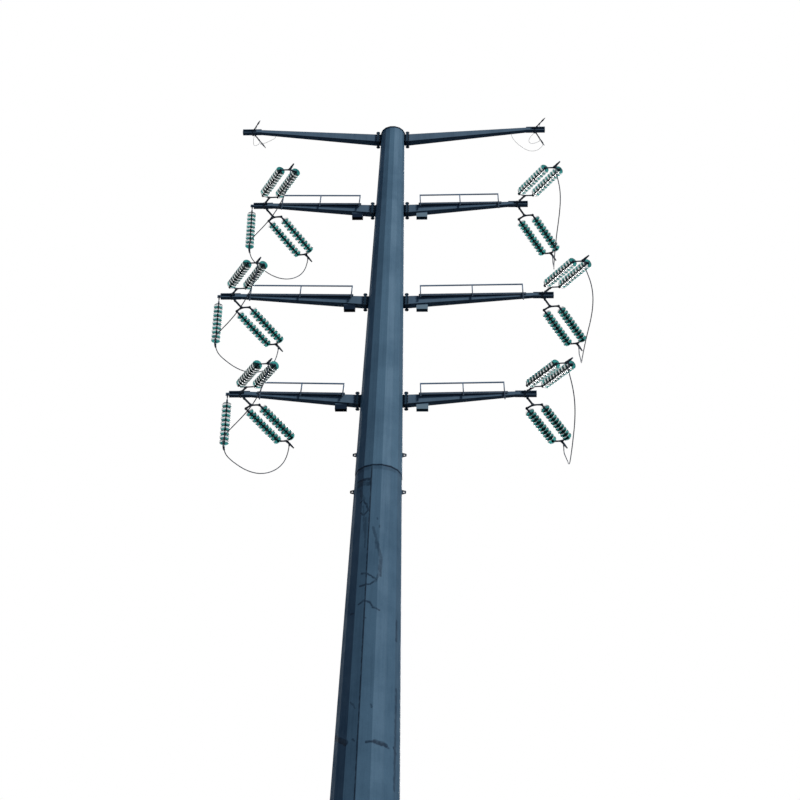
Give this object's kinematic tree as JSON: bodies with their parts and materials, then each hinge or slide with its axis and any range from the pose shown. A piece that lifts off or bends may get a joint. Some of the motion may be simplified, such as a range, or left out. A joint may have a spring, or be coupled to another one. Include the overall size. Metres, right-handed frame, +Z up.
{
  "type": "steel monopole transmission tower",
  "caption": "Tapered many-sided steel transmission pole with paired box arms, walkways, glass tension insulators, jumpers and a bolted base flange.",
  "frame": {"origin": "middle of the anchor bolt circle, in the plane of the base flange's underside", "axes": "+Z up along the shaft, +X along the arms on the right, +Y the way the back strings run"},
  "size_m": [10.3096, 4.5324, 35.426],
  "materials": {
    "shaft_steel": "weathered hot-dip galvanised",
    "arm_steel": "weathered hot-dip galvanised",
    "walkway_steel": "dull galvanised",
    "insulator_glass": "toughened green glass",
    "fitting_steel": "dark weathered galvanised",
    "conductor": "dull stranded"
  },
  "bodies": {
    "root": {"base_flange": "shaft_steel", "cap_plate": "shaft_steel", "earth_arm_left": "arm_steel", "earth_arm_right": "arm_steel", "earth_arm_seats": "arm_steel", "earth_clamps": "fitting_steel", "earth_lead_left": "conductor", "earth_lead_right": "conductor", "earth_loop_left": "conductor", "earth_loop_right": "conductor", "jacking_lugs": "shaft_steel", "lower_arm_left": "arm_steel", "lower_arm_right": "arm_steel", "lower_arm_seats": "arm_steel", "lower_fittings_left": "fitting_steel", "lower_fittings_right": "fitting_steel", "lower_glass_left": "insulator_glass", "lower_glass_right": "insulator_glass", "lower_jumper_left": "conductor", "lower_jumper_right": "conductor", "lower_walkways": "walkway_steel", "middle_arm_left": "arm_steel", "middle_arm_right": "arm_steel", "middle_arm_seats": "arm_steel", "middle_fittings_left": "fitting_steel", "middle_fittings_right": "fitting_steel", "middle_glass_left": "insulator_glass", "middle_glass_right": "insulator_glass", "middle_jumper_left": "conductor", "middle_jumper_right": "conductor", "middle_walkways": "walkway_steel", "shaft_bottom": "shaft_steel", "shaft_middle": "shaft_steel", "shaft_top": "shaft_steel", "upper_arm_left": "arm_steel", "upper_arm_right": "arm_steel", "upper_arm_seats": "arm_steel", "upper_fittings_left": "fitting_steel", "upper_fittings_right": "fitting_steel", "upper_glass_left": "insulator_glass", "upper_glass_right": "insulator_glass", "upper_jumper_left": "conductor", "upper_jumper_right": "conductor", "upper_walkways": "walkway_steel"}
  },
  "joints": []
}
